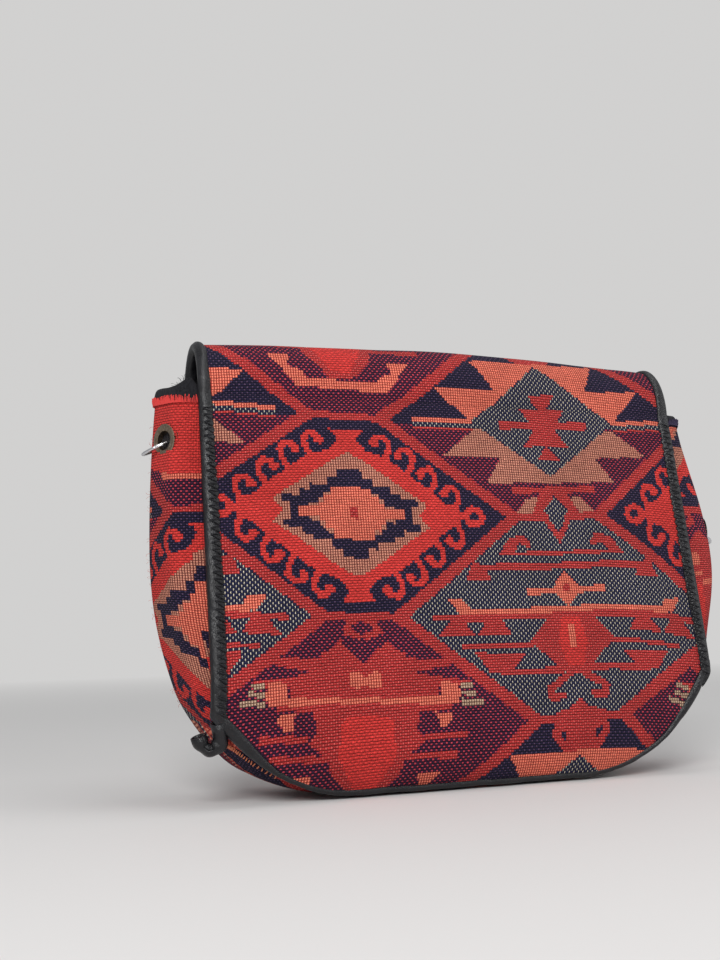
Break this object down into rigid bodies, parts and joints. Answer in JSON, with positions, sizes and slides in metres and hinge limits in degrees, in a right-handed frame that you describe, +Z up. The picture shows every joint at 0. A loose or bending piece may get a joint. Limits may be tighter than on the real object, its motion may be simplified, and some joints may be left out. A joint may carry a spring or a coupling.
{
  "type": "woven handbag",
  "caption": "Woven kilim handbag with a full leather-bound front flap, bulging side gussets, eyelets with wire rings, and a zipped mouth.",
  "frame": {"origin": "middle of the flat patch under the base, at the lowest point", "axes": "+Z up, the flap's front faces -Y, +X to the right as seen from the front"},
  "size_m": [0.3169, 0.0672, 0.219],
  "materials": {
    "kilim_cloth": "slit-woven kilim in coral, salmon, navy, purple and tan",
    "lining_cloth": "plain black cotton lining",
    "black_tape": "black woven zip tape and mouth ribbon",
    "black_leather": "soft black leather, satin, stitched",
    "zip_metal": "antique brass, satin",
    "antique_brass": "antique brass, worn edges",
    "steel_wire": "bright nickel-plated wire"
  },
  "bodies": {
    "bag": {"front_panel": "kilim_cloth", "back_panel": "kilim_cloth", "side_gusset_left": "kilim_cloth", "side_gusset_right": "kilim_cloth", "bottom_panel": "kilim_cloth", "lining": "lining_cloth", "mouth_binding": "black_tape", "flap": "kilim_cloth", "flap_lining": "lining_cloth", "flap_binding_left": "black_leather", "flap_binding_right": "black_leather", "flap_binding_bottom": "black_leather", "zip_tape_front": "black_tape", "zip_tape_back": "black_tape", "zip_teeth_front": "zip_metal", "zip_teeth_back": "zip_metal", "zip_bottom_stop": "zip_metal", "zip_top_stop_front": "zip_metal", "zip_top_stop_back": "zip_metal", "eyelet_left_front": "antique_brass", "eyelet_left_rear": "antique_brass", "eyelet_right_front": "antique_brass", "eyelet_right_rear": "antique_brass", "eyelet_washer_left_front": "antique_brass", "eyelet_washer_left_rear": "antique_brass", "eyelet_washer_right_front": "antique_brass", "eyelet_washer_right_rear": "antique_brass"},
    "slider": {"zip_slider": "zip_metal"},
    "pull": {"zip_pull": "zip_metal"},
    "left_ring": {"ring_left": "steel_wire"},
    "right_ring": {"ring_right": "steel_wire"}
  },
  "joints": [
    {"name": "zip_slide", "type": "slide", "parent": "bag", "child": "slider", "axis": [1, 0, 0], "range_m": [-0.195, 0]},
    {"name": "pull_hinge", "type": "hinge", "parent": "slider", "child": "pull", "pos_m": [0.096, 0.008, 0.2002], "axis": [0, 1, 0], "range_deg": [0, 35]},
    {"name": "ring_left_swing", "type": "hinge", "parent": "bag", "child": "left_ring", "pos_m": [-0.14469, 0.00665, 0.1647], "axis": [0, 1, 0], "range_deg": [0, 50]},
    {"name": "ring_right_swing", "type": "hinge", "parent": "bag", "child": "right_ring", "pos_m": [0.1532, 0.00409, 0.12283], "axis": [0, -1, 0], "range_deg": [0, 50]}
  ]
}
